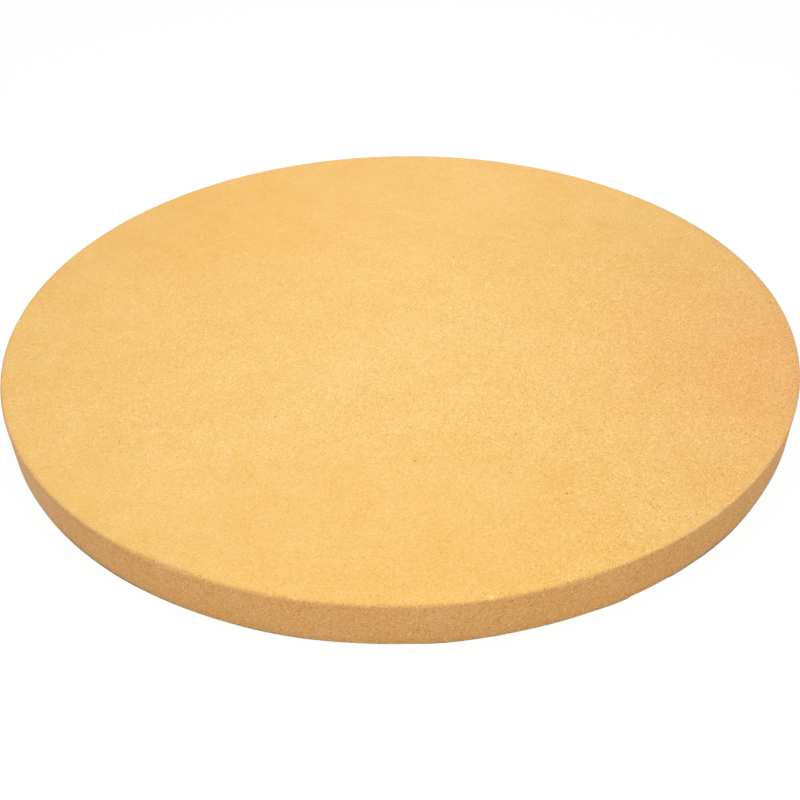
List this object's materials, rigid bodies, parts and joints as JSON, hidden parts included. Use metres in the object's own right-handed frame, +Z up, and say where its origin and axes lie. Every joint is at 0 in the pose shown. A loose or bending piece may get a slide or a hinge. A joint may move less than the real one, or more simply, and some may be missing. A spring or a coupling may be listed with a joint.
{
  "type": "pizza stone",
  "caption": "Round thick ceramic slab with a flat baking face, a plain side wall and small rounded edges, for baking on hot stone in an oven or grill.",
  "frame": {"origin": "middle of the underside", "axes": "+Z up, out of the baking face; the slab is round about Z, so X and Y are any two level directions, with -Y towards the picture's camera"},
  "size_m": [0.3556, 0.3556, 0.0191],
  "materials": {
    "fired_cordierite": "matte unglazed, fine sandy grain"
  },
  "bodies": {
    "root": {"stone_slab": "fired_cordierite"}
  },
  "joints": []
}
